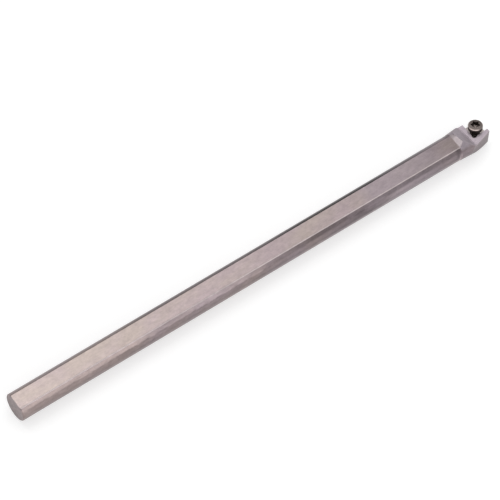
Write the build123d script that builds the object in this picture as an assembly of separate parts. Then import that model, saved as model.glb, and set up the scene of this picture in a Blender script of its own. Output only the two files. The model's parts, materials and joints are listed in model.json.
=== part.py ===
from build123d import *
from math import cos, radians, sin, tan
import os

os.makedirs("parts", exist_ok=True)

# Indexable boring bar, right hand, in millimetres.
# The shank axis is X, from the tail face at the origin towards the head.
# +Z is the normal of the clamping flat, and the cutting nose is on the +Y side, at the height of the axis.

# Shank
shank_dia = 5.0
bar_length = 100.0  # tail face to the nose of the insert that the seat takes
flat_depth = 0.45  # clamping flat below the top of the round
flat_edge_break = 0.08  # small bevel along the long edges of the flat
tail_chamfer = 0.12

# Head blank, which grows out of the shank as a slight cone towards the nose side
neck_dia = 5.1
head_dia = 5.5
head_offset = 0.05  # head circle's centre towards the nose
head_length = 7.9  # shoulder to the insert's nose
head_cone_length = 3.0
shoulder_angle = 24.5  # slope from the end of the flat up to the head

# Head cuts, all made with the bar rolled about its axis
roll_angle = 12.0
land_height = 0.5  # top land above the axis, square to the rolled set-up
ramp_foot = 4.55  # foot of the chip ramp, back from the nose
ramp_angle = 36.5
ramp_blend = 0.2  # radius where the ramp runs into the land

# Seat for an 80 degree rhombic insert
nose_reach = 3.1  # shank axis to the nose
insert_circle = 3.5  # inscribed circle
insert_thickness = 1.4
insert_corner = 80.0
insert_relief = 7.0
edge_trail = 5.0  # each cutting edge trails behind the nose by this angle
corner_relief_dia = 0.9
corner_relief_depth = 0.3  # below the seat floor

# Relief faces at the front and on the side away from the nose
front_setback = 0.33  # front face behind the insert's front edge, at the seat
front_relief = 1.0
nearside_angle = 17.0
nearside_width = 0.64  # land left between the near side and the seat at the front
nearside_lean = -5.0

# Clamping screw, standing clear of the seat as no insert is fitted
thread_dia = 1.6
thread_clearance = 0.02
screw_length = 3.0
screw_head_dia = 2.65
screw_rim = 0.87
screw_rim_chamfer = 0.17
screw_cone_angle = 60.0
screw_point_chamfer = 0.15
screw_raise = 2.2  # top of the screw above the seat floor
screw_pull = 0.42  # screw axis from the insert's centre, towards the inner corner
recess_across = 1.72  # six-lobe recess, across the lobes
recess_core = 1.25  # across the bulges between the lobes
recess_tip = 0.13  # radius of a lobe's tip
recess_depth = 0.8
recess_lobes = 6
recess_turn = 16.0  # first lobe from the direction of the bar
hole_countersink_dia = 1.8

# Derived from the driving sizes
shank_radius = shank_dia / 2
head_start = bar_length - head_length
flat_level = shank_radius - flat_depth
rolled = Plane((0, 0, 0), x_dir=(1, 0, 0), z_dir=(0, sin(radians(roll_angle)), cos(radians(roll_angle))))
rake_level = nose_reach * sin(radians(roll_angle))
seat_level = rake_level - insert_thickness
insert_edge = insert_circle / sin(radians(insert_corner))
front_edge_angle = 270 - edge_trail
side_edge_angle = front_edge_angle - insert_corner
reach_out = 3 * head_dia  # how far the cutters run past the head


def polar(angle, distance):
    """Vector in the rolled plane, by its angle from X."""
    return Vector(distance * cos(radians(angle)), distance * sin(radians(angle)))


nose = Vector(bar_length, nose_reach * cos(radians(roll_angle)))
inner_corner = nose + polar(front_edge_angle, insert_edge) + polar(side_edge_angle, insert_edge)
seat_centre = (nose + inner_corner) * 0.5
inward = (inner_corner - nose).normalized()
screw_axis = seat_centre + inward * screw_pull


def bar_blank():
    """Shank with its clamping flat, and the head blank on its end."""
    profile = Polyline(
        (0, 0),
        (0, shank_radius - tail_chamfer),
        (tail_chamfer, shank_radius),
        (head_start, shank_radius),
        (head_start, 0),
        close=True,
    )
    shank = revolve(make_face(profile), Axis.X) - over_flat()
    flat_edges = shank.edges().filter_by(Axis.X).group_by(Axis.Z)[-1]
    shank = chamfer(flat_edges, flat_edge_break)
    neck = Plane.YZ.offset(head_start) * Circle(neck_dia / 2)
    full = Plane.YZ.offset(head_start + head_cone_length) * Pos(head_offset, 0, 0) * Circle(head_dia / 2)
    cone = loft([neck, full])
    head = extrude(full, head_length - head_cone_length)
    return shank + (cone + head - over_flat())


def over_flat():
    """Everything above the clamping flat, with a slope at its head end."""
    rise = head_dia
    run = rise / tan(radians(shoulder_angle))
    outline = Polyline(
        (-rise, flat_level),
        (head_start, flat_level),
        (head_start + run, flat_level + rise),
        (-rise, flat_level + rise),
        close=True,
    )
    return extrude(Plane.XZ * make_face(outline), head_dia, both=True)


def chip_clearance():
    """Everything above the top land and the chip ramp, across the whole head."""
    foot_x = bar_length - ramp_foot
    rise = head_dia
    run = rise / tan(radians(ramp_angle))
    outline = Polyline(
        (foot_x - run, land_height + rise),
        (foot_x, land_height),
        (bar_length + head_dia, land_height),
        (bar_length + head_dia, land_height + rise),
        close=True,
    )
    section = make_face(outline)
    foot = section.vertices().sort_by_distance((foot_x, land_height, 0))[0]
    section = fillet(foot, ramp_blend)
    side_view = Plane((0, 0, 0), x_dir=(1, 0, 0), z_dir=-rolled.y_dir)
    return side_view * extrude(section, reach_out, both=True)


def insert_seat():
    """Seat floor, its two walls, which lean with the insert's relief, and the relief in their corner."""
    along_side = inner_corner - polar(side_edge_angle, reach_out)
    along_back = inner_corner - polar(front_edge_angle, reach_out)
    far = along_side + along_back - inner_corner
    outline = make_face(Polyline(inner_corner, along_side, far, along_back, close=True))
    floor_inset = insert_thickness * tan(radians(insert_relief))
    cutter = extrude(offset(outline, -floor_inset, kind=Kind.INTERSECTION), head_dia, taper=-insert_relief)
    relief_centre = inner_corner - inward * corner_relief_dia / 2
    relief = extrude(Circle(corner_relief_dia / 2), head_dia)
    relief = Pos(relief_centre.X, relief_centre.Y, -corner_relief_depth) * relief
    return rolled * Pos(0, 0, seat_level) * (cutter + relief)


def outer_block(lean):
    """Block on the +Y side of a face through the origin that leans out below by an angle."""
    return Rot(lean, 0, 0) * Pos(0, reach_out / 2, 0) * Box(2 * reach_out, reach_out, 2 * reach_out)


def front_cut():
    """Front face, parallel to the insert's front edge and leaning back below it."""
    point = nose + polar(side_edge_angle, front_setback)
    placed = Pos(point.X, point.Y, seat_level) * Rot(0, 0, front_edge_angle)
    return rolled * placed * outer_block(-front_relief)


def nearside_cut():
    """Relief on the side away from the nose, which narrows the land towards the front."""
    wall_front = inner_corner - polar(side_edge_angle, insert_edge)
    point = wall_front + polar(front_edge_angle, nearside_width)
    placed = Pos(point.X, point.Y, land_height) * Rot(0, 0, 180 + nearside_angle)
    return rolled * placed * outer_block(nearside_lean)


def screw_hole():
    """Threaded hole through the seat, with a small countersink."""
    radius = thread_dia / 2 + thread_clearance
    bore = extrude(Circle(radius), head_dia, both=True)
    sink_radius = hole_countersink_dia / 2
    sink = Cone(radius, sink_radius, sink_radius - radius, align=(Align.CENTER, Align.CENTER, Align.MAX))
    return rolled * Pos(screw_axis.X, screw_axis.Y, seat_level) * (bore + sink)


def six_lobe_section():
    """Six-lobe star outline of the drive recess: round tips, joined by tangent arcs that bulge inwards."""
    pitch = 360 / recess_lobes
    core = recess_core / 2
    tip_place = recess_across / 2 - recess_tip
    tip_along = tip_place * cos(radians(pitch / 2))
    # The bulge's radius makes it tangent to the tips on both sides
    excess = tip_place**2 + core**2 - recess_tip**2 - 2 * core * tip_along
    bulge = excess / (2 * (tip_along + recess_tip - core))
    tip_centre = polar(0, tip_place)
    to_bulge = polar(pitch / 2, core + bulge) - tip_centre
    join = tip_centre + to_bulge.normalized() * recess_tip
    start = Vector(join.X, -join.Y)
    tip_arc = ThreePointArc(start, polar(0, recess_across / 2), join)
    bulge_arc = ThreePointArc(join, polar(pitch / 2, core), start.rotate(Axis.Z, pitch))
    turns = [Rot(0, 0, recess_turn + lobe * pitch) for lobe in range(recess_lobes)]
    return make_face([turn * arc for turn in turns for arc in (tip_arc, bulge_arc)])


def clamp_screw():
    """Countersunk clamping screw, raised in its threaded hole."""
    head_radius = screw_head_dia / 2
    shank = thread_dia / 2
    cone_height = (head_radius - shank) / tan(radians(screw_cone_angle / 2))
    profile = Polyline(
        (0, 0),
        (head_radius - screw_rim_chamfer, 0),
        (head_radius, -screw_rim_chamfer),
        (head_radius, -screw_rim),
        (shank, -screw_rim - cone_height),
        (shank, screw_point_chamfer - screw_length),
        (shank - screw_point_chamfer, -screw_length),
        (0, -screw_length),
        close=True,
    )
    body = revolve(Plane.XZ * make_face(profile), Axis.Z)
    recess = Pos(0, 0, -recess_depth) * extrude(six_lobe_section(), recess_depth)
    return rolled * Pos(screw_axis.X, screw_axis.Y, seat_level + screw_raise) * (body - recess)


def bar_body():
    """The bar, cut from one turned blank."""
    return bar_blank() - chip_clearance() - insert_seat() - front_cut() - nearside_cut() - screw_hole()


export_step(bar_body(), "parts/bar_body.step")
export_step(clamp_screw(), "parts/clamp_screw.step")
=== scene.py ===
import json
import math

import bmesh
import bpy
from mathutils import Euler, Matrix, Vector


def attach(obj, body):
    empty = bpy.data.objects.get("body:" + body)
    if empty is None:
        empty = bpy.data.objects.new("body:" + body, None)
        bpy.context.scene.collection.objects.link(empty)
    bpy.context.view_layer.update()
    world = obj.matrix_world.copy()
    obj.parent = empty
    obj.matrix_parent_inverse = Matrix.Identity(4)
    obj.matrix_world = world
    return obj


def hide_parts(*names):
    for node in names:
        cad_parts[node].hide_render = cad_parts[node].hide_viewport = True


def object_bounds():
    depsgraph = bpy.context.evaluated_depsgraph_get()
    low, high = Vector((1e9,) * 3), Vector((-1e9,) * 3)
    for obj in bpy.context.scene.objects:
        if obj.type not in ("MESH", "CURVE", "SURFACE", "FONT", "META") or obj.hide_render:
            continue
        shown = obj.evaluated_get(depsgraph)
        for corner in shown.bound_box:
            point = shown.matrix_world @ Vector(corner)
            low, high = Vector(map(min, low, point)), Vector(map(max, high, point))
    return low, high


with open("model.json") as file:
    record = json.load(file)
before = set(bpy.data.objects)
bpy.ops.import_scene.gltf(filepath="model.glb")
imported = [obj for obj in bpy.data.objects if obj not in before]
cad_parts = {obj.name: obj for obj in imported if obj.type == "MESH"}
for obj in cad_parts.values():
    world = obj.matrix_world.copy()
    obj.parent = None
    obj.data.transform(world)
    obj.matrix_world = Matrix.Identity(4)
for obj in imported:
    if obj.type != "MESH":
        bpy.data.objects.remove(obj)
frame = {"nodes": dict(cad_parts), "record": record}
cad_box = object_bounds()
scene = bpy.context.scene
scene.view_settings.view_transform = "Standard"

MM = 0.001  # metres in a millimetre

# Bar, in millimetres: X from the tail face, Y and Z from the shank's axis
BAR_LENGTH = 100.0
BEVEL_Y = -1.3525
BEVEL_Z = 1.975
HEAD_START = 92.1
POCKET_START = 94.5

# Head cuts, made with the bar rolled about its axis; heights are square to that set-up
ROLL = math.radians(12.0)
LAND_HEIGHT = 0.5
SEAT_HEIGHT = -0.755
HOLE_EDGE = 0.95  # from the screw's axis
LAND_NORMAL = Vector((0, math.sin(ROLL), math.cos(ROLL)))
RAMP_NORMAL = (0.595, 0.167, 0.786)
SLOPE_NORMAL = (-0.415, 0, 0.91)
TOOTH_NORMAL = (0.7, -0.7, 0)

# Clamping screw, in millimetres
SCREW_HEAD_RADIUS = 1.325
RIM_BEVEL = 0.17
RIM_DEPTH = 0.87
THREAD_RADIUS = 0.8
THREAD_CORE = 0.62
THREAD_PITCH = 0.35
SCREW_LENGTH = 3.0
POINT_BEVEL = 0.15
CONE_SLOPE = math.tan(math.radians(30.0))
CONE_BOTTOM = -RIM_DEPTH - (SCREW_HEAD_RADIUS - THREAD_RADIUS) / CONE_SLOPE
POINT_TOP = POINT_BEVEL - SCREW_LENGTH
RECESS_ACROSS = 1.72
RECESS_CORE = 1.25
RECESS_TIP = 0.13
RECESS_DEPTH = 0.8
RECESS_DIMPLE = 0.12  # drop from the edge of the recess floor to its centre
RECESS_EDGE = 0.03
RECESS_TURN = math.radians(16.0)
LOBES = 6
SCREW_HIGHLIGHT_SIDE = (-0.79, -0.61, 0)  # side of the screw towards which the rim carries a painted highlight and its top face painted light

# Rows and columns of the screw's mesh
AROUND = LOBES * 28
ANGLES = [2 * math.pi * step / AROUND for step in range(AROUND)]
DIMPLE_RADIUS = 0.02
POINT_RADIUS = 0.2
WALL_ROWS = 6
BEVEL_ROWS = 4
ROWS_PER_TURN = 12


class Nodes:
    """A small helper for building one node tree."""

    def __init__(self, tree):
        self.tree = tree
        self.tree.nodes.clear()

    def add(self, kind, **settings):
        node = self.tree.nodes.new(kind)
        for name, setting in settings.items():
            setattr(node, name, setting)
        return node

    def feed(self, socket, given):
        """Give a socket a constant or the output of another node."""
        if isinstance(given, bpy.types.NodeSocket):
            self.tree.links.new(given, socket)
        else:
            socket.default_value = given

    def math(self, operation, *given, clamp=False):
        node = self.add("ShaderNodeMath", operation=operation, use_clamp=clamp)
        for socket, value in zip(node.inputs, given):
            self.feed(socket, value)
        return node.outputs[0]

    def vector(self, operation, *given):
        """Vector arithmetic, which gives a number for a length or a dot product."""
        node = self.add("ShaderNodeVectorMath", operation=operation)
        for socket, value in zip(node.inputs, given):
            self.feed(socket, value)
        return node.outputs["Value" if operation in ("LENGTH", "DOT_PRODUCT") else "Vector"]

    def split(self, vector):
        node = self.add("ShaderNodeSeparateXYZ")
        self.feed(node.inputs[0], vector)
        return node.outputs

    def toward(self, vector, direction):
        """Length of a vector's part along a direction."""
        return self.vector("DOT_PRODUCT", vector, Vector(direction).normalized())

    def position(self):
        """Object coordinates in millimetres."""
        return self.vector("MULTIPLY", self.add("ShaderNodeTexCoord").outputs["Object"], (1 / MM,) * 3)

    def normal(self):
        """The surface's normal in object space."""
        return self.add("ShaderNodeTexCoord").outputs["Normal"]

    def step(self, given, low, high):
        """0 below low, 1 above high and smooth between; falls instead where low is above high."""
        node = self.add("ShaderNodeMapRange", interpolation_type="SMOOTHSTEP")
        self.feed(node.inputs["Value"], given)
        node.inputs["From Min"].default_value = min(low, high)
        node.inputs["From Max"].default_value = max(low, high)
        if low > high:
            node.inputs["To Min"].default_value = 1.0
            node.inputs["To Max"].default_value = 0.0
        return node.outputs[0]

    def band(self, given, low, high, soft):
        """1 between low and high, falling to 0 within soft outside them."""
        return self.all_of(self.step(given, low - soft, low), self.step(given, high + soft, high))

    def all_of(self, first, *others):
        """Mask of the places where all the given masks are 1."""
        for mask in others:
            first = self.math("MULTIPLY", first, mask)
        return first

    def vary(self, level, pattern, gain, base=1.0):
        """Level times the base plus the gain times the pattern."""
        return self.math("MULTIPLY", level, self.math("MULTIPLY_ADD", pattern, gain, base))

    def mottle(self, level, noise, gain):
        """Level varied up and down by a noise."""
        return self.vary(level, noise, gain, 1.0 - gain / 2)

    def blend(self, factor, first, second):
        """Number between two numbers."""
        node = self.add("ShaderNodeMix", data_type="FLOAT")
        for name, given in zip(("Factor", "A", "B"), (factor, first, second)):
            self.feed(node.inputs[name], given)
        return node.outputs[0]

    def layers(self, level, *masked):
        """Level with others laid over it in turn, each where its mask is 1."""
        for mask, over in masked:
            level = self.blend(mask, level, over)
        return level

    def mix(self, factor, first, second, blend="MIX"):
        """Colour mixed from two colours."""
        node = self.add("ShaderNodeMix", data_type="RGBA", blend_type=blend)
        self.feed(node.inputs["Factor"], factor)
        colours = [s for s in node.inputs if s.type == "RGBA"]
        for socket, given in zip(colours, (first, second)):
            self.feed(socket, given if isinstance(given, bpy.types.NodeSocket) else (*given, 1.0))
        return [s for s in node.outputs if s.type == "RGBA"][0]

    def as_colour(self, level):
        node = self.add("ShaderNodeCombineColor")
        for socket in node.inputs:
            self.feed(socket, level)
        return node.outputs[0]

    def ramp(self, given, stops):
        """Grey that eases through stops of place and level."""
        node = self.add("ShaderNodeValToRGB")
        node.color_ramp.interpolation = "EASE"
        elements = node.color_ramp.elements
        while len(elements) < len(stops):
            elements.new(1.0)
        for element, (place, level) in zip(elements, stops):
            element.position = place
            element.color = (level, level, level, 1.0)
        self.feed(node.inputs["Fac"], given)
        return node.outputs["Color"]

    def along(self, x, *stops):
        """Level along the bar, through stops of millimetres and 8-bit display levels."""
        share = self.math("DIVIDE", x, BAR_LENGTH)
        return self.ramp(share, [(place / BAR_LENGTH, grey(level)) for place, level in stops])

    def noise(self, vector, size, stretch=(1, 1, 1), detail=2.0, rough=0.5):
        """Noise with features about size millimetres across, drawn out by stretch."""
        mapping = self.add("ShaderNodeMapping")
        self.feed(mapping.inputs["Vector"], vector)
        mapping.inputs["Scale"].default_value = [1.0 / (size * s) for s in stretch]
        node = self.add("ShaderNodeTexNoise")
        self.feed(node.inputs["Vector"], mapping.outputs[0])
        node.inputs["Scale"].default_value = 1.0
        node.inputs["Detail"].default_value = detail
        node.inputs["Roughness"].default_value = rough
        return node.outputs["Fac"]


def grey(display):
    """Scene level of an 8-bit display level."""
    share = display / 255.0
    return share / 12.92 if share <= 0.04045 else ((share + 0.055) / 1.055) ** 2.4


def mount(name):
    """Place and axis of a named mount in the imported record, in metres."""
    for entry in frame["record"]["mounts"]:
        if entry["name"] == name:
            return Vector(entry["pos_m"]), Vector(entry["axis"]).normalized()


def material(name):
    """New material, and the helper for its nodes."""
    made = bpy.data.materials.new(name)
    made.use_nodes = True
    return made, Nodes(made.node_tree)


def give(obj, made):
    """Make this material the object's only one."""
    obj.data.materials.clear()
    obj.data.materials.append(made)


def steel_output(n, tint, level, roughness, metallic=1.0):
    """Steel whose base colour is a tint times a level."""
    shader = n.add("ShaderNodeBsdfPrincipled")
    n.feed(shader.inputs["Base Color"], n.mix(1.0, tint, n.as_colour(level), "MULTIPLY"))
    n.feed(shader.inputs["Roughness"], roughness)
    n.feed(shader.inputs["Metallic"], metallic)
    n.feed(n.add("ShaderNodeOutputMaterial").inputs["Surface"], shader.outputs[0])


# Bar


class BarZones:
    """Coordinates on the bar in millimetres, and masks of its faces."""

    def __init__(self, n):
        self.place = n.position()
        self.x, self.y, self.z = n.split(self.place)
        normal = n.normal()
        self.nx, self.ny, self.nz = n.split(normal)
        self.height = n.toward(self.place, LAND_NORMAL)
        facing_up = n.toward(normal, LAND_NORMAL)

        # Shank
        self.low_side = n.step(self.nz, 0.5, 0.2)
        self.flat = n.step(self.nz, 0.975, 0.985)
        self.bevel = n.all_of(
            n.step(self.z, BEVEL_Z - 0.01, BEVEL_Z + 0.01), n.step(self.y, BEVEL_Y + 0.0075, BEVEL_Y - 0.0075)
        )
        self.tail = n.step(self.nx, -0.8, -0.95)
        # Painted shadow on the near side just before the head, and a painted highlight in a narrow band below
        # it
        self.shadow_before_head = n.all_of(
            n.step(self.x, HEAD_START - 1.5, HEAD_START - 0.6),
            n.step(self.x, HEAD_START, HEAD_START - 0.3),
            n.band(self.nz, 0.35, 0.85, 0.2),
        )
        self.seam = n.all_of(
            n.band(self.x, HEAD_START - 0.38, HEAD_START - 0.02, 0.25), n.step(self.nz, 0.55, 0.35)
        )

        # Head
        self.head = n.step(self.x, HEAD_START - 0.05, HEAD_START + 0.05)
        self.slope = n.step(n.toward(normal, SLOPE_NORMAL), 0.97, 0.985)
        self.ramp = n.step(n.toward(normal, RAMP_NORMAL), 0.97, 0.985)
        self.land = n.step(facing_up, 0.98, 0.99)
        self.tooth = n.step(n.toward(normal, TOOTH_NORMAL), 0.6, 0.8)

        # Insert pocket, whose faces look towards the screw, and the screw's hole in its floor
        screw_top, screw_axis = mount("drive_recess")
        to_screw = n.vector("SUBTRACT", screw_top / MM, self.place)
        self.pocket = n.all_of(
            n.step(n.vector("DOT_PRODUCT", normal, to_screw), 0.0, 0.2),
            n.step(self.height, LAND_HEIGHT - 0.02, LAND_HEIGHT - 0.08),
            n.step(self.x, POCKET_START, POCKET_START + 0.1),
        )
        off_axis = n.vector("LENGTH", n.vector("CROSS_PRODUCT", to_screw, screw_axis))
        # Mask of the screw's hole, which is painted dark as shade
        self.shaded_hole = n.all_of(
            n.step(off_axis, HOLE_EDGE + 0.03, HOLE_EDGE - 0.03),
            n.step(facing_up, 0.95, 0.9),
            n.step(self.height, SEAT_HEIGHT + 0.055, SEAT_HEIGHT + 0.005),
        )
        self.seat = n.math("SUBTRACT", self.pocket, self.shaded_hole, clamp=True)


def shank_level(n, bar, scuff):
    """Level of the shank, from the underside up to the flat, and of the tail face; the shank's levels by
    facing and along the bar are painted reflection and shade.
    """
    x = bar.x
    # Painted reflection: the flat grows darker towards the head
    flat = n.along(x, (0, 181), (40, 187), (66, 182), (80, 170), (92, 153))
    # Painted highlight along the bevel at the flat's near edge
    bevel = n.along(x, (0, 220), (20, 220), (40, 213), (50, 228), (60, 219), (70, 225), (80, 217), (92, 220))
    # Painted reflection and shade on the upper near side, in light and dark stretches along the bar
    upper = n.along(
        x, (0, 173), (11, 176), (22, 187), (29, 168), (38, 188), (44, 184),
        (53, 150), (61, 122), (74, 148), (81, 142), (92, 141)
    )
    # Painted reflection and shade on the lower near side, darker towards its lower limb
    lower = n.along(x, (0, 150), (25, 142), (56, 138), (71, 116), (79, 151), (92, 131))
    lower = n.vary(lower, bar.low_side, -0.2, 1.07)
    # Painted reflection of a shadow: a dark line along the far side just below the flat
    crest = n.along(
        x, (0, 134), (16, 128), (30, 104), (46, 95), (52, 88), (60, 54), (74, 54), (81, 90), (92, 124)
    )
    far_side = n.blend(n.step(bar.nz, 0.54, 0.68), grey(138), crest)
    wavy = n.math("ADD", bar.nz, n.math("MULTIPLY_ADD", scuff, 0.24, -0.12))
    level = n.layers(
        lower,
        (n.step(bar.nz, 0.15, 0.0), grey(142)),
        (n.step(wavy, 0.52, 0.64), upper),
        (n.step(bar.ny, 0.0, 0.2), far_side),
        (bar.flat, flat),
        (bar.bevel, bevel),
    )
    # Painted shadow on the near side just before the head
    level = n.vary(level, bar.shadow_before_head, -0.33)
    tail = n.blend(n.step(n.toward(bar.place, (0, -1, 1)), -1.5, 1.2), grey(117), grey(131))
    return n.blend(bar.tail, level, n.mottle(tail, n.noise(bar.place, 0.55, detail=3), 1.2))


def head_level(n, bar):
    """Level of the head's round sides and of its cut faces, with painted reflection and shade by facing and
    height.
    """
    near_side = n.blend(bar.low_side, grey(138), grey(132))
    # Painted shade and reflection: the tooth darker low down, the slope lighter in its middle, the ramp
    # lighter towards its foot
    tooth = n.blend(n.step(bar.height, -0.4, 0.2), grey(117), grey(128))
    slope = n.blend(n.band(bar.y, -0.95, 0.4, 0.6), grey(132), grey(157))
    ramp = n.blend(n.step(bar.height, 0.78, 0.62), grey(167), grey(200))
    return n.layers(
        near_side,
        (n.step(bar.nz, 0.5, 0.8), grey(176)),
        (n.step(bar.ny, 0.0, 0.3), grey(141)),
        (bar.tooth, tooth),
        (bar.slope, slope),
        (bar.ramp, ramp),
        (bar.land, grey(181)),
        (bar.pocket, grey(180)),
        # Painted shade: the screw's hole is painted dark
        (bar.shaded_hole, grey(60)),
    )


def bar_tint(n, bar, patch):
    """Tint of the steel: warm at the tail and cooler on the head, with faint blotches."""
    warmth = n.step(n.math("MULTIPLY_ADD", bar.x, -0.003, patch), 0.12, 0.62)
    on_sides = n.mix(warmth, (1.0, 0.82, 0.875), (1.0, 0.805, 0.775))
    on_flat = n.mix(warmth, (1.0, 0.815, 0.84), (1.0, 0.84, 0.775))
    tint = n.mix(bar.flat, on_sides, on_flat)
    for mask, over in (
        (n.math("MULTIPLY", n.band(bar.x, 74, 86, 4), 0.6), (1.0, 0.85, 0.93)),
        (bar.bevel, (1.0, 0.875, 0.87)),
        (n.all_of(bar.head, n.step(bar.nz, 0.55, 0.75)), (1.0, 0.862, 0.95)),
        (n.all_of(bar.head, bar.slope), (1.0, 0.875, 0.9)),
        (n.all_of(bar.head, bar.tooth), (1.0, 0.79, 0.84)),
        (bar.seat, (1.0, 0.87, 0.83)),
        (bar.tail, (1.0, 0.77, 0.77)),
    ):
        tint = n.mix(mask, tint, over)
    return tint


def bar_steel():
    """Satin steel of the bar, with painted reflection and shade in its level by place and facing, its tint
    set by place and facing, and worn by noise.
    """
    made, n = material("bar_steel")
    bar = BarZones(n)
    scuff = n.noise(bar.place, 0.9, (2.2, 1, 1), detail=4, rough=0.6)
    patch = n.noise(bar.place, 3.2, (2.2, 1, 1), detail=3)
    grain = n.noise(bar.place, 0.16, (7, 1, 1), detail=3)
    spots = n.noise(bar.place, 0.45, (1.6, 1, 1), detail=2, rough=0.7)

    level = n.blend(bar.head, shank_level(n, bar, scuff), head_level(n, bar))
    # Painted highlight in a narrow band low on the near side, just before the head
    level = n.vary(level, bar.seam, 0.75)
    near_side = n.all_of(n.step(bar.nz, 0.9, 0.8), n.step(bar.ny, 0.1, -0.1))
    wear = n.math("MULTIPLY", n.math("SUBTRACT", scuff, 0.5), n.math("MULTIPLY_ADD", near_side, 0.16, 0.16))
    level = n.vary(level, wear, 2.0)
    for noise, gain in ((grain, 0.24), (spots, 0.4), (patch, 0.12)):
        level = n.mottle(level, noise, gain)

    roughness = n.blend(bar.ramp, n.math("MULTIPLY_ADD", scuff, 0.16, 0.26), 0.6)
    matt = n.math("MAXIMUM", bar.ramp, n.math("MULTIPLY", bar.seat, 0.8))
    matt = n.math("MAXIMUM", matt, n.math("MULTIPLY", n.all_of(bar.head, bar.land), 0.5))
    steel_output(n, bar_tint(n, bar, patch), level, roughness, n.math("MULTIPLY_ADD", matt, -0.75, 1.0))
    return made


# Screw


def screw_steel():
    """Dark oxide steel of the screw, with a painted highlight along the rim's edge and painted light on its
    top face, both on one side.
    """
    made, n = material("screw_steel")
    top, axis = mount("drive_recess")
    offset = n.vector("SUBTRACT", n.position(), top / MM)
    height = n.toward(offset, axis)
    front = n.toward(offset, SCREW_HIGHLIGHT_SIDE)
    # Painted highlight on the rim's bevel and painted light on the top face, both towards one side
    bevel = n.blend(n.step(front, 0.75, 1.15), grey(160), grey(244))
    face = n.blend(n.step(front, -1.0, 1.0), grey(92), grey(120))
    in_recess = n.all_of(n.step(n.vector("LENGTH", offset), 1.25, 1.1), n.step(height, -0.02, -0.08))
    on_floor = n.all_of(in_recess, n.step(height, 0.06 - RECESS_DEPTH, 0.01 - RECESS_DEPTH))
    level = n.layers(
        grey(84),
        (n.step(height, -RIM_BEVEL - 0.03, -RIM_BEVEL), bevel),
        (n.step(height, -0.03, -0.01), face),
        (in_recess, grey(74)),
        (on_floor, grey(150)),
    )
    speck = n.noise(offset, 0.25, detail=3)
    level = n.mottle(level, speck, 0.4)
    steel_output(n, (1.0, 0.84, 0.79), level, n.math("MULTIPLY_ADD", speck, 0.1, 0.33))
    return made


def star_radius(angle):
    """Distance from the recess's centre to its outline of round tips and inward bulges."""
    pitch = 2 * math.pi / LOBES
    turn = (angle - RECESS_TURN) % pitch
    turn = min(turn, pitch - turn)
    core = RECESS_CORE / 2
    tip_place = RECESS_ACROSS / 2 - RECESS_TIP
    tip_along = tip_place * math.cos(pitch / 2)
    # The bulge's radius makes it tangent to the tips on both sides
    excess = tip_place**2 + core**2 - RECESS_TIP**2 - 2 * core * tip_along
    bulge = excess / (2 * (tip_along + RECESS_TIP - core))
    bulge_place = core + bulge
    tip_centre = Vector((tip_place, 0))
    bulge_centre = bulge_place * Vector((math.cos(pitch / 2), math.sin(pitch / 2)))
    join = tip_centre + (bulge_centre - tip_centre).normalized() * RECESS_TIP
    if turn < math.atan2(join.y, join.x):
        beside = RECESS_TIP**2 - (tip_place * math.sin(turn)) ** 2
        return tip_place * math.cos(turn) + math.sqrt(max(beside, 0.0))
    off_bulge = pitch / 2 - turn
    beside = bulge**2 - (bulge_place * math.sin(off_bulge)) ** 2
    return bulge_place * math.cos(off_bulge) - math.sqrt(max(beside, 0.0))


def polar(radius, angle, height):
    """Point of the screw in millimetres."""
    return radius * math.cos(angle), radius * math.sin(angle), height


def ring(radius, height):
    """One round turn of points."""
    return [polar(radius, angle, height) for angle in ANGLES]


def star(margin, height):
    """One turn of points that follow the recess's outline, outside it by a margin."""
    return [polar(star_radius(angle) + margin, angle, height) for angle in ANGLES]


def between(first, second, shares):
    """Rings at some shares of the way from one ring to another."""
    return [[Vector(a).lerp(Vector(b), share) for a, b in zip(first, second)] for share in shares]


def head_rings():
    """Rings from the recess floor up, over the rim and down the countersunk cone."""
    centre = ring(DIMPLE_RADIUS, -RECESS_DEPTH - RECESS_DIMPLE)
    rings = between(centre, star(-RECESS_EDGE, -RECESS_DEPTH), (0.0, 0.3, 0.6, 0.85, 1.0))
    wall = RECESS_DEPTH - RECESS_EDGE
    rings += [star(0.0, wall * row / WALL_ROWS - RECESS_DEPTH) for row in range(1, WALL_ROWS + 1)]
    rings.append(star(0.3 * RECESS_EDGE, -0.3 * RECESS_EDGE))
    rim = ring(SCREW_HEAD_RADIUS - RIM_BEVEL, 0.0)
    rings += between(star(RECESS_EDGE, 0.0), rim, (0.0, 0.25, 0.5, 0.75, 1.0))
    down_bevel = [row / BEVEL_ROWS for row in range(1, BEVEL_ROWS + 1)]
    rings += between(rim, ring(SCREW_HEAD_RADIUS, -RIM_BEVEL), down_bevel)
    rings += [ring(SCREW_HEAD_RADIUS, height) for height in (-0.4, -0.64, -RIM_DEPTH)]
    rings += between(rings[-1], ring(THREAD_RADIUS, CONE_BOTTOM), (0.25, 0.5, 0.75, 1.0))
    return rings


def thread_rings():
    """Rows of the helical thread, which starts flush with the neck and flattens at the point."""
    turns = math.ceil((CONE_BOTTOM - POINT_TOP) / THREAD_PITCH) + 1
    fade = 0.5 * THREAD_PITCH
    rings = []
    for row in range(-ROWS_PER_TURN, ROWS_PER_TURN * turns + 1):
        off_crest = abs((row / ROWS_PER_TURN) % 1.0 - 0.5)
        crest = min(1.5 - 2.6 * off_crest, 1.0)
        points = []
        for step, angle in enumerate(ANGLES):
            height = CONE_BOTTOM - THREAD_PITCH * (row / ROWS_PER_TURN + step / AROUND)
            height = min(max(height, POINT_TOP), CONE_BOTTOM)
            depth = (THREAD_RADIUS - THREAD_CORE) * (1.0 - crest * min((height - POINT_TOP) / fade, 1.0))
            radius = THREAD_RADIUS - depth * min((CONE_BOTTOM - height) / fade, 1.0)
            points.append(polar(radius, angle, height))
        rings.append(points)
    return rings


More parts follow.
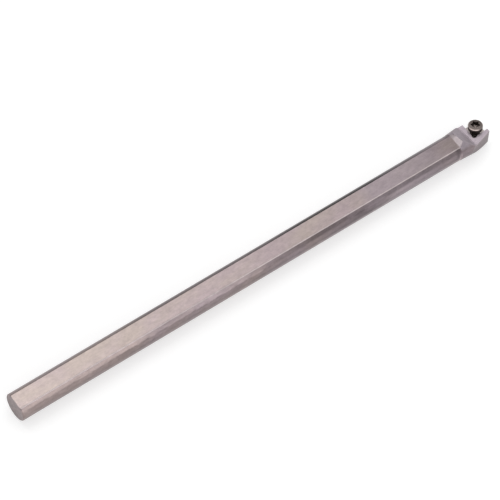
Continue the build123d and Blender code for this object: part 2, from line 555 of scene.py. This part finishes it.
def point_rings():
    """Rings of the bevel and the flat end at the screw's point."""
    end_radius = THREAD_CORE - POINT_BEVEL
    return [ring(THREAD_CORE, POINT_TOP), ring(end_radius, -SCREW_LENGTH), ring(POINT_RADIUS, -SCREW_LENGTH)]


def add_skin(points, faces, rings, climb=0):
    """Add rings with quads between them; in a helix, each ring's end meets the ring that is climb later."""
    first = len(points)
    for shape in rings:
        points.extend(shape)
    for row in range(len(rings) - 1):
        for step in range(AROUND):
            here = first + row * AROUND + step
            beside = here + 1
            if step + 1 == AROUND:
                beside += (climb - 1) * AROUND
            if beside + AROUND < len(points):
                faces.append((here, beside, beside + AROUND, here + AROUND))


def screw_mesh():
    """Points and faces of the screw, in millimetres from the middle of its top."""
    points = []
    faces = []
    add_skin(points, faces, head_rings())
    faces.append(tuple(range(AROUND))[::-1])
    add_skin(points, faces, thread_rings(), climb=ROWS_PER_TURN)
    add_skin(points, faces, point_rings())
    faces.append(tuple(range(len(points) - AROUND, len(points))))
    return points, faces


def build_screw():
    """Screw with its thread and softened edges, in place of the plain one."""
    points, faces = screw_mesh()
    top, axis = mount("drive_recess")
    along = Vector((1, 0, 0))
    turn = Matrix((along, axis.cross(along), axis)).transposed()
    mesh = bpy.data.meshes.new("star_screw")
    mesh.from_pydata([turn @ (Vector(point) * MM) + top for point in points], [], faces)
    body = bmesh.new()
    body.from_mesh(mesh)
    bmesh.ops.remove_doubles(body, verts=body.verts, dist=0.0005 * MM)
    bmesh.ops.dissolve_degenerate(body, edges=body.edges, dist=0.0001 * MM)
    bmesh.ops.recalc_face_normals(body, faces=body.faces)
    body.to_mesh(mesh)
    body.free()
    mesh.shade_smooth()
    mesh.set_sharp_from_angle(angle=math.radians(28))
    screw = bpy.data.objects.new("star_screw", mesh)
    scene.collection.objects.link(screw)
    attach(screw, "root")
    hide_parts("clamp_screw")
    return screw


# Studio


def floor_white():
    """Matt floor that takes the shadow, with a glow that shows only to the camera and in reflections."""
    made, n = material("floor_white")
    matt = n.add("ShaderNodeBsdfDiffuse")
    matt.inputs["Color"].default_value = (0.62, 0.62, 0.62, 1.0)
    rays = n.add("ShaderNodeLightPath").outputs
    seen = n.math("ADD", rays["Is Camera Ray"], rays["Is Glossy Ray"])
    seen = n.math("ADD", seen, rays["Is Transmission Ray"], clamp=True)
    glow = n.add("ShaderNodeEmission")
    n.feed(glow.inputs["Strength"], n.math("MULTIPLY", seen, 0.55))
    both = n.add("ShaderNodeAddShader")
    n.feed(both.inputs[0], matt.outputs[0])
    n.feed(both.inputs[1], glow.outputs[0])
    n.feed(n.add("ShaderNodeOutputMaterial").inputs["Surface"], both.outputs[0])
    return made


def build_floor(reach=3.0):
    """Square floor, level with the lowest point of the bar; reach is in metres."""
    lowest = cad_box[0][2]
    corners = [(x * reach, y * reach, lowest) for x, y in ((-1, -1), (1, -1), (1, 1), (-1, 1))]
    mesh = bpy.data.meshes.new("floor")
    mesh.from_pydata(corners, [], [(0, 1, 2, 3)])
    floor = bpy.data.objects.new("floor", mesh)
    scene.collection.objects.link(floor)
    return floor


def pale_room():
    """World of a pale room, brighter overhead."""
    world = bpy.data.worlds.new("studio")
    world.use_nodes = True
    n = Nodes(world.node_tree)
    height = n.split(n.add("ShaderNodeTexCoord").outputs["Generated"])[2]
    room = n.add("ShaderNodeBackground")
    n.feed(room.inputs["Color"], n.ramp(height, [(0.0, 0.5), (0.5, 0.6), (0.95, 0.7)]))
    room.inputs["Strength"].default_value = 1.0
    n.feed(n.add("ShaderNodeOutputWorld").inputs["Surface"], room.outputs[0])
    return world


def soft_light(name, place, size, power):
    """Rectangular lamp that looks at the middle of the bar."""
    lamp = bpy.data.lights.new(name, "AREA")
    lamp.shape = "RECTANGLE"
    lamp.size, lamp.size_y = size
    lamp.energy = power
    obj = bpy.data.objects.new(name, lamp)
    obj.location = place
    middle = Vector((BAR_LENGTH / 2 * MM, 0, 0))
    obj.rotation_euler = (middle - Vector(place)).to_track_quat("-Z", "Y").to_euler()
    scene.collection.objects.link(obj)


def place_camera():
    """Camera with the photograph's perspective."""
    view = bpy.data.cameras.new("view")
    view.sensor_width = 36.0
    view.lens = 206.71
    view.clip_start = 0.01
    camera = bpy.data.objects.new("view", view)
    camera.location = (-0.129162, -0.164392, 0.420724)
    camera.rotation_euler = Euler([math.radians(angle) for angle in (29.6503, -6.1125, -36.3643)], "XYZ")
    scene.collection.objects.link(camera)
    scene.camera = camera


give(frame["nodes"]["bar_body"], bar_steel())
give(build_screw(), screw_steel())
give(build_floor(), floor_white())
scene.world = pale_room()
soft_light("overhead", (0.02, 0.19, 0.5), (0.3, 0.25), 0.42)
soft_light("side", (0.0, -0.5, 0.2), (0.4, 0.25), 0.4)
soft_light("front", (0.32, 0.34, 0.32), (0.3, 0.3), 0.18)
place_camera()
